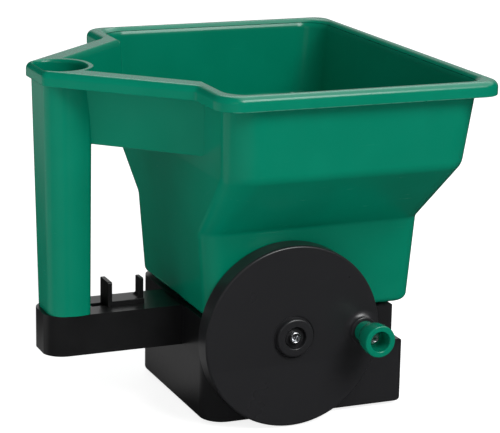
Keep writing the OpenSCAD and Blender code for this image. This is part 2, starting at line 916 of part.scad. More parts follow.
// Shutter: a plate over the outlet on a narrow strip that runs back under the slider
module gate_plate() {
    color(black)
        translate([0, 0, gate_z])
            linear_extrude(gate_t)
                difference() {
                    union() {
                        translate([-36, -gate_half_w])
                            square([gate_front + 36, 2 * gate_half_w]);
                        translate([strip_rear, -strip_half_w])
                            square([-30 - strip_rear, 2 * strip_half_w]);
                    }
                    translate([neck_x[0], -neck_half_w])
                        square([neck_x[1] - neck_x[0], 2 * neck_half_w]);
                }
}

// Profile of the front fin, which a fillet joins to the base
function fin_profile() =
    let (r = 7, base = gate_z + gate_t + slider_base_t, back = front_fin_x - fin_t / 2)
    concat(
        [[front_fin_x + fin_t / 2, base - 1], [front_fin_x + fin_t / 2, fin_z - 0.8],
            [front_fin_x + fin_t / 2 - 0.6, fin_z], [back + 0.6, fin_z], [back, fin_z - 0.8]],
        [for (a = [0 : 11.25 : 90]) [back - r + r * cos(a), base + r - r * sin(a)]],
        [[back - r, base - 1]]);

module finger_slider() {
    low = gate_z + gate_t;
    color(black) {
        translate([rear_fin_x - fin_t / 2, -strip_half_w, low])
            cube([front_fin_x - rear_fin_x + fin_t, 2 * strip_half_w, slider_base_t]);
        translate([0, front_fin_half_w, 0])
            rotate([90, 0, 0])
                linear_extrude(2 * front_fin_half_w)
                    polygon(fin_profile());
        translate([rear_fin_x - fin_t / 2, -rear_fin_half_w, low])
            cube([fin_t, 2 * rear_fin_half_w, fin_z - 1.2 - low]);
        translate([rear_fin_x - fin_t / 2, -rear_fin_half_w + 1.2, low])
            cube([fin_t, 2 * rear_fin_half_w - 2.4, fin_z - low]);
        slider_neck();
    }
}

// The neck goes down through the strip and the slot, and is drilled for the clip's screw
module slider_neck() {
    difference() {
        translate([neck_x[0], -neck_half_w, clip_z + 2])
            cube([neck_x[1] - neck_x[0], 2 * neck_half_w, gate_z + gate_t + eps - clip_z - 2]);
        translate([(neck_x[0] + neck_x[1]) / 2, 0, clip_z - 1])
            cylinder(r = 1.3, h = 6.5);
    }
}

module slider_clip() {
    x = (neck_x[0] + neck_x[1]) / 2;
    color(black)
        difference() {
            translate([x - 9, -6, clip_z])
                cube([18, 12, 2]);
            translate([x, 0, clip_z - 1])
                cylinder(r = 1.3, h = 4);
        }
}

module slider_screw() {
    color(steel)
        translate([(neck_x[0] + neck_x[1]) / 2, 0, clip_z]) {
            cylinder(r = 1.3, h = 5.4);
            mirror([0, 0, 1])
                screw_head(2.6, 1.6);
        }
}

// Screw that points up: its head hangs below z = 0
module upright_screw(r, length, head_r, head_h) {
    cylinder(r = r, h = length);
    mirror([0, 0, 1])
        screw_head(head_r, head_h);
}

module hopper_screws() {
    color(steel)
        for (p = hopper_posts)
            translate([p[0], p[1], cavity_top])
                upright_screw(1.75, 13, 3.4, 2.2);
}

module cover_screws() {
    color(steel)
        for (p = cover_posts)
            translate([p[0], p[1], skirt_z + 0.2])
                upright_screw(1.5, 14, 3, 1.9);
}

module gear_cover_screws() {
    color(steel)
        for (p = gear_posts)
            translate([p[0], p[1], box_low_z - 2])
                upright_screw(1.3, 12, 2.6, 1.7);
}

module grip_screw() {
    color(steel)
        translate([grip_screw_x, 0, 55])
            upright_screw(1.9, 26, 3.8, 2.5);
}

// Knob: a waisted barrel with a deep recess in its end
function knob_profile() = concat(
    [[spindle_r + run, knob_foot], [7.6, knob_foot], [8.2, knob_foot + 0.6], [8.2, knob_foot + 1.6]],
    [for (t = [0.1 : 0.15 : 0.9])
        [6.9 + (knob_r - 6.9) * pow(max(0, t - 0.15) / 0.85, 1.6), knob_foot + 2 + t * 18]],
    [[knob_r, knob_end - 2.4]],
    [for (a = [15 : 25 : 90]) [knob_r - 1.4 * (1 - cos(a)), knob_end - 1.4 * (1 - sin(a))]],
    [[knob_recess_r + 0.5, knob_end], [knob_recess_r, knob_end - 0.8],
        [knob_recess_r - 0.4, knob_floor], [spindle_r + run, knob_floor]]);

module knob() {
    color(green)
        crank_side()
            translate([knob_arm, 0, 0])
                rotate_extrude()
                    polygon(knob_profile());
}

module knob_spindle() {
    seat = disc_face + blister_h;
    color(steel)
        crank_side()
            translate([knob_arm, 0, 0]) {
                translate([0, 0, 64])
                    cylinder(r = spindle_thread_r, h = seat - 64 + eps);
                translate([0, 0, seat])
                    cylinder(r = spindle_r, h = knob_floor + 0.3 - seat);
                translate([0, 0, knob_floor + 0.3])
                    screw_head(3.6, 2.4);
            }
}

module knob_nut() {
    color(steel)
        crank_side(63.2)
            translate([knob_arm, 0, 0])
                difference() {
                    cylinder(r = 3.9, h = 2.8, $fn = 6);
                    translate([0, 0, -1])
                        cylinder(r = spindle_thread_r, h = 5);
                }
}

hopper();
base_housing();
bottom_cover();
gear_cover();
crank_axle();
hub_screw();
hub_washer();
crank_disc();
hub_bush();
ring_gear();
knob();
knob_spindle();
knob_nut();
drive_shaft();
drive_pinion();
drive_bushes();
drive_bevel();
driven_bevel();
impeller_shaft();
impeller_bushes();
impeller();
impeller_screw();
agitator();
gate_plate();
finger_slider();
slider_clip();
slider_screw();
hopper_screws();
cover_screws();
gear_cover_screws();
grip_screw();
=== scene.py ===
import json
import math

import bmesh
import bpy
import numpy as np
from mathutils import Matrix, Vector


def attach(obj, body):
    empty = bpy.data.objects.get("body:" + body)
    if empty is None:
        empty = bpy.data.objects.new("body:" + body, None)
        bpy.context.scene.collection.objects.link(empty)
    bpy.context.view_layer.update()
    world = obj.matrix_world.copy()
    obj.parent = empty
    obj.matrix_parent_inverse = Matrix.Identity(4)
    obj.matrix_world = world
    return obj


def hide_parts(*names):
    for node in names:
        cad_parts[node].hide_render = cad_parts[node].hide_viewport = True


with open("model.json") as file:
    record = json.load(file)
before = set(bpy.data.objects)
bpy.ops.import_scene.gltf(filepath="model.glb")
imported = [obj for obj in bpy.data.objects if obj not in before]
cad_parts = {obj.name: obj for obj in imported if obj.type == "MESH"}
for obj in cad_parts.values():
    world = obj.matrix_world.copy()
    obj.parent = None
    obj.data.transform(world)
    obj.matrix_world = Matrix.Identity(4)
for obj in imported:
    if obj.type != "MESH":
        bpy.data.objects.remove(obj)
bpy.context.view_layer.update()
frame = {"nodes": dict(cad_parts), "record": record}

MM = 0.001
nodes = frame["nodes"]


class Wire:
    """A node's output socket, with arithmetic that adds Math nodes."""

    def __init__(self, bench, socket):
        self.bench = bench
        self.socket = socket

    def math(self, operation, *operands):
        return self.bench.add("ShaderNodeMath", {"operation": operation}, *operands)

    def __add__(self, other):
        return self.math("ADD", self, other)

    __radd__ = __add__

    def __sub__(self, other):
        return self.math("SUBTRACT", self, other)

    def __rsub__(self, other):
        return self.math("SUBTRACT", other, self)

    def __mul__(self, other):
        return self.math("MULTIPLY", self, other)

    __rmul__ = __mul__

    def __truediv__(self, other):
        return self.math("DIVIDE", self, other)

    def __rtruediv__(self, other):
        return self.math("DIVIDE", other, self)

    def __abs__(self):
        return self.math("ABSOLUTE", self)

    def sin(self):
        return self.math("SINE", self)

    def cos(self):
        return self.math("COSINE", self)

    def smooth(self, low, high):
        """0 at low, 1 at high, and an S between them; low may be the larger number."""
        soft = {"interpolation_type": "SMOOTHSTEP"}
        return self.bench.add("ShaderNodeMapRange", soft, self, low, high, 0.0, 1.0)


class Bench:
    """A node tree under construction."""

    def add(self, kind, settings=None, *values, out=0, **named):
        """Any node: its type, its settings, then its sockets in order or by name."""
        node = self.tree.nodes.new(kind)
        for key, value in (settings or {}).items():
            setattr(node, key, value)
        for index, value in enumerate(values):
            self.feed(node.inputs[index], value)
        for key, value in named.items():
            self.feed(node.inputs[key.replace("_", " ")], value)
        return Wire(self, node.outputs[out])

    def feed(self, socket, value):
        if isinstance(value, Wire):
            self.tree.links.new(value.socket, socket)
        else:
            socket.default_value = (*value, 1.0) if socket.type == "RGBA" else value

    def vector(self, x, y, z):
        return self.add("ShaderNodeCombineXYZ", None, x, y, z)

    def split(self, wire):
        node = self.add("ShaderNodeSeparateXYZ", None, wire).socket.node
        return [Wire(self, output) for output in node.outputs]


class Finish(Bench):
    """One procedural material, or the sky."""

    def __init__(self, name, owner=None):
        self.owner = owner or bpy.data.materials.new(name)
        self.owner.use_nodes = True
        self.tree = self.owner.node_tree
        self.tree.nodes.clear()
        kind = "ShaderNodeOutputMaterial" if owner is None else "ShaderNodeOutputWorld"
        self.output = self.tree.nodes.new(kind)

    def place(self):
        """Object coordinates in metres."""
        return self.add("ShaderNodeTexCoord", out=3)

    def stretched(self, scale, turn=(0.0, 0.0, 0.0)):
        return self.add("ShaderNodeMapping", None, self.place(), (0.0, 0.0, 0.0), turn, scale)

    def noise(self, scale, detail=3.0, rough=0.5, place=None):
        return self.add("ShaderNodeTexNoise", None, Vector=place or self.place(), Scale=scale,
                        Detail=detail, Roughness=rough)

    def scratches(self, scale, stretch, turn):
        """Thin scattered lines: 0 on the plain surface, 1 in a scratch."""
        return self.noise(scale, 4.0, 0.7, self.stretched(stretch, turn)).smooth(0.67, 0.71)

    def mix(self, factor, a, b):
        node = self.tree.nodes.new("ShaderNodeMix")
        node.data_type = "RGBA"
        for socket, value in ((node.inputs[0], factor), (node.inputs[6], a), (node.inputs[7], b)):
            self.feed(socket, value)
        return Wire(self, node.outputs[2])

    def clouded(self, scale, detail, rough, low, dark, light):
        """Soft clouds, and a colour that goes with them from dark to light."""
        cloud = self.noise(scale, detail, rough)
        return cloud, self.mix(cloud.smooth(low, 0.7), dark, light)

    def bump(self, height, strength, distance):
        return self.add("ShaderNodeBump", None, Strength=strength, Distance=distance, Height=height)

    def surface(self, colour, roughness, normal, metallic=0.0, ior=1.5, gloss=0.5):
        wire = self.add("ShaderNodeBsdfPrincipled", None, Base_Color=colour, Roughness=roughness,
                        Metallic=metallic, IOR=ior, Specular_IOR_Level=gloss, Normal=normal)
        return self.shown(wire)

    def shown(self, wire):
        self.tree.links.new(wire.socket, self.output.inputs["Surface"])
        return self.owner

    def rays(self):
        """1 for what the camera sees, and 1 for what shows in reflections."""
        path = self.add("ShaderNodeLightPath").socket.node.outputs
        return Wire(self, path["Is Camera Ray"]), Wire(self, path["Is Glossy Ray"])


def srgb(*channels):
    """A colour as a paint chart writes it, 0 to 255, turned into linear light."""
    return tuple(c / 255 / 12.92 if c <= 10 else ((c / 255 + 0.055) / 1.055) ** 2.4 for c in channels)


# Finishes
SKIRT_LOW_Z = 0.2048


def green_moulding():
    """Glossy green with clouds, handled patches, fine scratches and a painted highlight: a pale line along
    the lower edge of the rim's skirt.
    """
    f = Finish("green_moulding")
    x, y, z = f.split(f.place())
    cloud, colour = f.clouded(14.0, 3.0, 0.55, 0.35, srgb(0, 125, 97), srgb(0, 130, 102))
    handling = f.noise(55.0, 5.0, 0.6)
    colour = f.mix(handling.smooth(0.5, 0.8) * 0.35, colour, srgb(0, 134, 104))
    outer_skirt = 1.0 - (1.0 - abs(y).smooth(0.1212, 0.1216)) * (1.0 - x.smooth(0.1042, 0.1046))
    # Painted highlight: a pale line along the lower edge of the outer skirt, broken into dashes by noise and
    # rougher there.
    painted_edge_highlight = abs(z - SKIRT_LOW_Z).smooth(0.0007, 0.0002) * outer_skirt
    painted_edge_highlight = painted_edge_highlight * f.noise(260.0, 3.0, 0.7).smooth(0.3, 0.55)
    colour = f.mix(painted_edge_highlight * 0.5, colour, srgb(110, 180, 160))
    peel = f.noise(420.0, 2.0, 0.5)
    scratches = f.scratches(38.0, (1.0, 14.0, 26.0), (0.35, 0.2, 0.6))
    rough = 0.13 + 0.07 * cloud + 0.07 * handling + 0.10 * scratches + 0.3 * painted_edge_highlight
    return f.surface(colour, rough, f.bump(peel + 0.4 * scratches, 0.06, 0.0004), ior=1.49, gloss=0.28)


def black_moulding():
    """Black with dust and scratches, and painted light: greyer on the front side, where the crank disc is,
    and on the lower part of the housing.
    """
    f = Finish("black_moulding")
    y, z = f.split(f.place())[1:]
    cloud, colour = f.clouded(24.0, 4.0, 0.6, 0.35, srgb(24, 24, 25), srgb(30, 30, 31))
    # Painted light: the front side, where the crank disc is, and the lower part of the housing are made
    # greyer.
    painted_front_light, low = (0.0 - y).smooth(0.0595, 0.0625), (0.0 - z).smooth(-0.041, -0.037)
    colour = f.mix(painted_front_light * 0.85 + low * 0.5, colour, srgb(40, 40, 42))
    dust = f.noise(190.0, 6.0, 0.7).smooth(0.62, 0.80)
    colour = f.mix(dust * 0.08, colour, srgb(92, 92, 94))
    peel = f.noise(380.0, 2.0, 0.5)
    scratches = f.scratches(34.0, (18.0, 1.0, 7.0), (0.3, 0.5, 0.2))
    rough = 0.24 + 0.10 * cloud + 0.16 * dust + 0.12 * scratches
    return f.surface(colour, rough, f.bump(peel + 0.3 * scratches, 0.08, 0.0004), gloss=0.4)


def black_satin():
    f = Finish("black_satin")
    cloud, colour = f.clouded(30.0, 4.0, 0.6, 0.3, srgb(20, 20, 22), srgb(28, 28, 30))
    spark = f.noise(1500.0, 2.0, 0.6)
    return f.surface(colour, 0.42 + 0.16 * cloud, f.bump(spark, 0.25, 0.0002))


def pale_nylon():
    """Pale gear plastic with glossy patches of grease."""
    f = Finish("pale_nylon")
    cloud, colour = f.clouded(60.0, 4.0, 0.6, 0.3, srgb(222, 217, 200), srgb(233, 230, 217))
    grease = f.noise(130.0, 3.0, 0.6).smooth(0.55, 0.75)
    colour = f.mix(grease * 0.35, colour, srgb(186, 176, 150))
    return f.surface(colour, 0.42 - 0.2 * grease, f.bump(cloud, 0.1, 0.0003), ior=1.53)


def bright_steel():
    f = Finish("bright_steel")
    cloud, colour = f.clouded(160.0, 4.0, 0.6, 0.3, srgb(196, 198, 202), srgb(222, 223, 225))
    turning = f.noise(900.0, 2.0, 0.5, f.stretched((1.0, 1.0, 6.0)))
    return f.surface(colour, 0.20 + 0.16 * cloud, f.bump(turning, 0.12, 0.0001), metallic=1.0)


def plain_bronze():
    f = Finish("plain_bronze")
    cloud, colour = f.clouded(200.0, 4.0, 0.6, 0.3, srgb(176, 136, 82), srgb(204, 164, 104))
    return f.surface(colour, 0.34 + 0.12 * cloud, f.bump(cloud, 0.1, 0.0001), metallic=1.0)


finishes = {
    "green_plastic": green_moulding(),
    "black_plastic": black_moulding(),
    "black_matte": black_satin(),
    "pale_nylon": pale_nylon(),
    "steel": bright_steel(),
    "bronze": plain_bronze(),
}
node_slot = {part["node"]: part["material_slot"] for part in frame["record"]["subparts"]}
for name, piece in nodes.items():
    piece.data.materials.clear()
    piece.data.materials.append(finishes[node_slot[name]])


# Outlines and solids, in millimetres
LEAST_RADIUS = 0.01


def rounded(corners, n=12):
    """Outline through corners (x, y, radius) in counterclockwise order, each corner an arc."""
    points = []
    for i, (x, y, r) in enumerate(corners):
        o = Vector((x, y))
        u = (Vector(corners[i - 1][:2]) - o).normalized()
        v = (Vector(corners[(i + 1) % len(corners)][:2]) - o).normalized()
        r = max(r, LEAST_RADIUS)
        half = u.angle(v) / 2
        centre = o + (u + v).normalized() * r / math.sin(half)
        start = o + u * r / math.tan(half) - centre
        first = math.atan2(start.y, start.x)
        turn = math.copysign(math.pi - 2 * half, v.x * u.y - v.y * u.x)
        for k in range(n + 1):
            angle = first + turn * k / n
            points.append((centre.x + r * math.cos(angle), centre.y + r * math.sin(angle)))
    return points


def inset(corners, d):
    """The same corners moved inward by d, with their radii to suit."""
    moved = []
    for i, (x, y, r) in enumerate(corners):
        o = Vector((x, y))
        e = (o - Vector(corners[i - 1][:2])).normalized()
        f = (Vector(corners[(i + 1) % len(corners)][:2]) - o).normalized()
        a, b = Vector((-e.y, e.x)), Vector((-f.y, f.x))
        p = o + d * (a + b) / (1 + a.dot(b))
        moved.append((p.x, p.y, r - math.copysign(d, e.x * f.y - e.y * f.x)))
    return moved


def box_corners(x0, x1, w0, w1, r0, r1):
    """Corners of a box that reaches w0 to each side at x0 and w1 at x1."""
    return [(x0, -w0, r0), (x1, -w1, r1), (x1, w1, r1), (x0, w0, r0)]


def between(z, table):
    """The value at a height, from rows (height, value)."""
    return float(np.interp(z, [row[0] for row in table], [row[1] for row in table]))


def quarter(n):
    """Sine and cosine of the angles of a quarter turn in n steps, for rounded edges."""
    angles = [math.pi / 2 * k / n for k in range(n + 1)]
    return [(math.sin(a), math.cos(a)) for a in angles]


def arc(centre, radius, first, last, n):
    """Points of an arc in n steps, its angles in degrees."""
    turn = [math.radians(first + (last - first) * k / n) for k in range(n + 1)]
    return [(centre[0] + radius * math.cos(t), centre[1] + radius * math.sin(t)) for t in turn]


def added(name, data):
    """A new object in the scene, for a mesh, a lamp or a camera."""
    thing = bpy.data.objects.new(name, data)
    bpy.context.scene.collection.objects.link(thing)
    return thing


def made(name, verts, faces):
    mesh = bpy.data.meshes.new(name)
    mesh.from_pydata([tuple(c * MM for c in v) for v in verts], [], faces)
    mesh.validate()
    return added(name, mesh)


def loft(name, rings):
    """Closed solid through rings (outline, z), whose outlines have equally many points (x, y)."""
    n = len(rings[0][0])
    verts = [(x, y, z) for outline, z in rings for x, y in outline]
    faces = [tuple(reversed(range(n)))]
    for k in range(len(rings) - 1):
        for i in range(n):
            j = (i + 1) % n
            faces.append((k * n + i, k * n + j, (k + 1) * n + j, (k + 1) * n + i))
    faces.append(tuple((len(rings) - 1) * n + i for i in range(n)))
    return made(name, verts, faces)


def outward(piece):
    """The piece with its doubles merged and its faces turned outward."""
    work = bmesh.new()
    work.from_mesh(piece.data)
    bmesh.ops.remove_doubles(work, verts=work.verts, dist=1e-7)
    bmesh.ops.recalc_face_normals(work, faces=work.faces)
    work.to_mesh(piece.data)
    work.free()
    return piece


def block(name, x0, x1, half, z0, z1):
    """Plain block that reaches half to each side."""
    outline = [(x0, -half), (x1, -half), (x1, half), (x0, half)]
    return loft(name, [(outline, z0), (outline, z1)])


def crosswise(name, outline, half):
    """Solid with an outline (x, z) that runs across, half to each side."""
    piece = loft(name, [(outline, -half), (outline, half)])
    for vertex in piece.data.vertices:
        x, z, y = vertex.co
        vertex.co = (x, y, z)
    return outward(piece)


def turned(name, profile, centre, axis="Y", n=96, closed=False):
    """Solid of revolution. profile runs (radius, distance) up along Z, or forward along -Y.

    A radius of 0 closes an end, and closed joins the last point to the first.
    """
    verts, faces, rows = [], [], []
    for r, h in profile:
        if r == 0:
            rows.append([len(verts)] * n)
            verts.append((0, 0, h))
        else:
            rows.append(list(range(len(verts), len(verts) + n)))
            for i in range(n):
                angle = 2 * math.pi * i / n
                verts.append((r * math.cos(angle), r * math.sin(angle), h))
    pairs = list(zip(rows, rows[1:])) + ([(rows[-1], rows[0])] if closed else [])
    for a, b in pairs:
        for i in range(n):
            j = (i + 1) % n
            face = tuple(dict.fromkeys((a[i], a[j], b[j], b[i])))
            if len(face) > 2:
                faces.append(face)
    if axis == "Y":
        verts = [(x, -h, y) for x, y, h in verts]
    verts = [(x + centre[0], y + centre[1], z + centre[2]) for x, y, z in verts]
    return outward(made(name, verts, faces))


def cylinder(name, radius, low, high, centre, axis="Y", n=48):
    return turned(name, [(0, low), (radius, low), (radius, high), (0, high)], centre, axis, n)


# Work on finished meshes
CREASE_ANGLE = math.radians(32.0)
BEVEL_ANGLE = math.radians(40.0)
FLAT_ANGLE = math.radians(0.6)


def settled(piece):
    """The piece with its modifiers made part of its mesh."""
    evaluated = piece.evaluated_get(bpy.context.evaluated_depsgraph_get())
    mesh = bpy.data.meshes.new_from_object(evaluated)
    piece.modifiers.clear()
    old = piece.data
    piece.data = mesh
    mesh.name = piece.name
    bpy.data.meshes.remove(old)
    return piece


def dropped(piece):
    mesh = piece.data
    bpy.data.objects.remove(piece)
    bpy.data.meshes.remove(mesh)


def carved(piece, tools, operation="DIFFERENCE"):
    """Cuts tools out of a piece, joins them to it or keeps what they share, and removes them."""
    for tool in tools:
        cut = piece.modifiers.new("cut", "BOOLEAN")
        cut.operation, cut.solver, cut.object = operation, "EXACT", tool
    settled(piece)
    for tool in tools:
        dropped(tool)
    return piece


def joined(piece, other):
    """Adds the mesh of the other to the piece, as it is."""
    work = bmesh.new()
    work.from_mesh(piece.data)
    work.from_mesh(other.data)
    work.to_mesh(piece.data)
    work.free()
    dropped(other)


def smoothed(piece):
    """Smooth shading by face area, with sharp edges left crisp."""
    mesh = piece.data
    mesh.shade_smooth()
    work = bmesh.new()
    work.from_mesh(mesh)
    for edge in work.edges:
        edge.smooth = not (len(edge.link_faces) == 2 and edge.calc_face_angle(0.0) > CREASE_ANGLE)
    work.to_mesh(mesh)
    work.free()
    even = piece.modifiers.new("even", "WEIGHTED_NORMAL")
    even.keep_sharp, even.weight = True, 60
    return settled(piece)


def softened(name, node, width):
    """A copy of a CAD node whose crisp edges are rounded off."""
    work = bmesh.new()
    work.from_mesh(nodes[node].data)
    bmesh.ops.remove_doubles(work, verts=work.verts, dist=1e-6)
    bmesh.ops.dissolve_limit(work, angle_limit=FLAT_ANGLE, verts=work.verts, edges=work.edges)
    mesh = bpy.data.meshes.new(name)
    work.to_mesh(mesh)
    work.free()
    piece = added(name, mesh)
    edge = piece.modifiers.new("edge", "BEVEL")
    edge.limit_method, edge.angle_limit = "ANGLE", BEVEL_ANGLE
    edge.width, edge.segments, edge.use_clamp_overlap = width * MM, 2, True
    return smoothed(settled(piece))


def dressed(piece, slot, body, replaced):
    """Gives a finished piece its material and its body, in place of a CAD node."""
    piece.data.materials.clear()
    piece.data.materials.append(finishes[slot])
    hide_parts(replaced)
    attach(piece, body)


# Geometry Nodes recipes, in metres
INTEGER, LENGTH, TURN = "NodeSocketInt", "NodeSocketFloat", "NodeSocketVector"


class Recipe(Bench):
    """A Geometry Nodes tree with inputs (name, socket type, value); recipe["name"] is that input."""

    def __init__(self, name, inputs):
        self.tree = bpy.data.node_groups.new(name, "GeometryNodeTree")
        face = self.tree.interface
        face.new_socket("Geometry", in_out="INPUT", socket_type="NodeSocketGeometry")
        face.new_socket("Geometry", in_out="OUTPUT", socket_type="NodeSocketGeometry")
        self.keys = {}
        for label, kind, value in [*inputs, ("Finish", "NodeSocketMaterial", None)]:
            socket = face.new_socket(label, in_out="INPUT", socket_type=kind)
            if value is not None:
                socket.default_value = value
            self.keys[label] = socket.identifier
        self.given = self.tree.nodes.new("NodeGroupInput")
        self.result = self.tree.nodes.new("NodeGroupOutput")

    def __getitem__(self, label):
        return Wire(self, self.given.outputs[label])

    def raised(self, shape, z):
        return self.add("GeometryNodeTransform", None, Geometry=shape, Translation=self.vector(0.0, 0.0, z))

    def rod(self, radius, low, high, sides, top=None):
        """An upright cylinder or cone between two heights."""
        cone = self.add("GeometryNodeMeshCone", {"fill_type": "NGON"}, Vertices=sides,
                        Radius_Top=top or radius, Radius_Bottom=radius, Depth=high - low)
        return self.raised(cone, low)

    def circle(self, sides, radius):
        return self.add("GeometryNodeCurvePrimitiveCircle", None, Resolution=sides, Radius=radius)

    def cut(self, base, tool):
        exact = {"operation": "DIFFERENCE", "solver": "EXACT"}
        return self.add("GeometryNodeMeshBoolean", exact, base, tool)

    def placed(self, points, shape, turn):
        """The shape on every point, as plain mesh with its finish: the end of a recipe."""
        copies = self.add("GeometryNodeInstanceOnPoints", None, Points=points, Instance=shape, Rotation=turn)
        whole = self.add("GeometryNodeRealizeInstances", None, copies)
        coated = self.add("GeometryNodeSetMaterial", None, Geometry=whole, Material=self["Finish"])
        self.tree.links.new(coated.socket, self.result.inputs[0])
        return self

    def grown(self, name, slot, points, **values):
        """A plain mesh of this recipe on points in millimetres. The values are in metres and radians."""
        piece = made(name, points, [])
        growth = piece.modifiers.new("growth", "NODES")
        growth.node_group = self.tree
        growth[self.keys["Finish"]] = finishes[slot]
        for label, value in values.items():
            growth[self.keys[label.replace("_", " ")]] = value
        return outward(settled(piece))


def screw_recipe():
    """Screws with a raised ring round a deep recess with a cross in it, one on each point."""
    r = Recipe("cross_recess_screws", [
        ("Head radius", LENGTH, 3.4 * MM), ("Head height", LENGTH, 2.2 * MM),
        ("Shank radius", LENGTH, 1.7 * MM), ("Shank length", LENGTH, 12 * MM),
        ("Tip radius", LENGTH, 1.7 * MM), ("Tip length", LENGTH, 0.1 * MM), ("Turn", TURN, None)])
    wide, high, reach = r["Head radius"], r["Head height"], r["Shank length"]
    tube = high * 0.3
    around, section = r.circle(64, wide - tube), r.circle(16, tube)
    ring = r.add("GeometryNodeCurveToMesh", None, Curve=around, Profile_Curve=section)
    ring = r.raised(ring, high - tube)
    recess = r.rod(wide * 0.3, high * 0.25, high, 48, wide * 0.72)
    head = r.cut(r.rod(wide, 0.0, high - tube, 64), recess)
    for along, across in ((0.2, 0.95), (0.95, 0.2)):
        slot = r.add("GeometryNodeMeshCube", None, Size=r.vector(wide * along, wide * across, high))
        head = r.cut(head, r.raised(slot, high * 0.65))
    middle = r.rod(wide * 0.15, 0.0, high * 0.55, 16, wide * 0.07)
    shank = r.rod(r["Shank radius"], 0.0 - reach, high * 0.1, 40)
    tip = r.rod(r["Tip radius"], 0.0 - reach - r["Tip length"], 0.0 - reach * 0.9, 32)
    screw = r.add("GeometryNodeJoinGeometry")
    for part in (head, ring, middle, shank, tip):
        r.tree.links.new(part.socket, screw.socket.node.inputs[0])
    return r.placed(r["Geometry"], screw, r["Turn"])


def blade_recipe():
    """Upright blades round the z axis, each running outward from an inner radius and turning by a sweep."""
    r = Recipe("swept_blades", [
        ("Count", INTEGER, 6), ("First angle", LENGTH, 0.0), ("Inner radius", LENGTH, 6 * MM),
        ("Length", LENGTH, 39 * MM), ("Thickness", LENGTH, 1.8 * MM), ("Height", LENGTH, 13 * MM),
        ("Sweep", LENGTH, 0.4)])
    size = r.vector(r["Length"], r["Thickness"], r["Height"])
    bar = r.add("GeometryNodeMeshCube", None, Size=size, Vertices_X=25)
    x, y, z = r.split(r.add("GeometryNodeInputPosition"))
    along = x / r["Length"] + 0.5
    reach = r["Inner radius"] + r["Length"] * along
    angle = r["Sweep"] * along + y / reach
    where = r.vector(reach * angle.cos(), reach * angle.sin(), z + r["Height"] * 0.5)
    blade = r.add("GeometryNodeSetPosition", None, Geometry=bar, Position=where)
    hub = r.add("GeometryNodePoints", None, r["Count"])
    turn = r["First angle"] + r.add("GeometryNodeInputIndex") * (2 * math.pi) / r["Count"]
    return r.placed(hub, blade, r.vector(0.0, 0.0, turn))


# Hopper moulding: heights and widths of the solids, with finer bends and lips
FLOOR_Z, WAIST_Z, SHOULDER_Z, RIM_Z = 66.8, 119.7, 160.3, 213.5
WALL, SKIRT, LOW_BEND, LIP_R, CORNER_STEPS = 2.2, 8.7, 4, 15.7, 14
REAR_X = [(FLOOR_Z, -48.2), (WAIST_Z, -52.7), (SHOULDER_Z, -56.3), (RIM_Z, -58.6)]
FRONT_X = [(FLOOR_Z, 84.9), (WAIST_Z, 89.2), (SHOULDER_Z, 93.6), (RIM_Z, 99.9)]
CORNER_R = [(FLOOR_Z, 11.9), (WAIST_Z, 11.9), (SHOULDER_Z, 18.7), (RIM_Z, 17.9)]
LOW_SIDE = [(FLOOR_Z, 61.1), (WAIST_Z, 61.9)]
HIGH_SIDE = [(SHOULDER_Z, 111.1), (RIM_Z, 115)]
TROUGH_Z, TROUGH_REAR, TROUGH_EDGE, TROUGH_FILLET = 169, -111.2, 1.2, 6
TROUGH_REACH = [(TROUGH_Z, 126), (RIM_Z, 134.4)]
GRIP_Z, GRIP_FRONT_X, GRIP_BULGE, GRIP_REAR_R, GRIP_FRONT_R = 65, -106.5, 0.8, 10.5, 4
GRIP_HALF = [(GRIP_Z, 18.3), (RIM_Z, 21.6)]
GRIP_REAR_X = [(GRIP_Z, -131.3), (RIM_Z, -133.9)]
HOPPER_POSTS = [(-36, -34), (-36, 34), (57, -44), (57, 44)]
IMPELLER_AXIS = (16, 0, 0)


def bowl_outline(y, z, d):
    """Outline of the bowl at a height, moved inward by d; the bend above the floor tucks all sides in."""
    tuck = max(0.0, between(z, LOW_SIDE) - d - y) if z < FLOOR_Z + d + LOW_BEND else 0.0
    r = max(between(z, CORNER_R) - d - tuck, 0.6)
    rear, front = between(z, REAR_X) + d + tuck, between(z, FRONT_X) - d - tuck
    return rounded(box_corners(rear, front, y, y, r, r), CORNER_STEPS)


def bowl_path(d, steps=12):
    """Half widths and heights up the bowl's side: floor bend, waist and shoulder."""
    profile = [(0, FLOOR_Z, 0), (61.1, FLOOR_Z, LOW_BEND), (61.9, WAIST_Z, LOW_BEND), (113.6, 162.3, 9),
               (117.2, RIM_Z, 0), (0, RIM_Z, 0)]
    corners = inset(profile, d)
    bends = rounded(corners, steps)[steps + 1:4 * (steps + 1)]
    return bends + [(corners[4][0], RIM_Z - 2.5)]


def lip_outline(z, out):
    """Outline of the inner wall near the rim, flared by out."""
    side = between(z, HIGH_SIDE) + out
    rear, front = between(z, REAR_X) + WALL - out, between(z, FRONT_X) - WALL + out
    return rounded(box_corners(rear, front, side, side, LIP_R, LIP_R), CORNER_STEPS)


def rim_corners():
    half = [(-135.9, 17.5, 5), (-67.4, 84.2, 5), (-67.4, 123.3, 14.5), (106.6, 124.7, 12)]
    return [(x, -y, r) for x, y, r in half] + [(x, y, r) for x, y, r in reversed(half)]


def trough_outline(z, rear, d, flare=0.0, fillet=0.0):
    """The trough's sides run at 45 degrees; a fillet takes them into the bowl's rear wall."""
    front, wall_x = -50, -56.6 - flare * 0.8
    reach = between(z, TROUGH_REACH) - d * math.sqrt(2) + flare
    side = [(rear, rear + reach), (front, front + reach)]
    if fillet:
        back = fillet * math.tan(math.radians(22.5))
        centre = (wall_x - fillet, wall_x + reach + back)
        side = [side[0], *arc(centre, fillet, -45, 0, 5), (front, centre[1] + 0.4)]
    return [(x, -y) for x, y in side] + [(x, y) for x, y in reversed(side)]


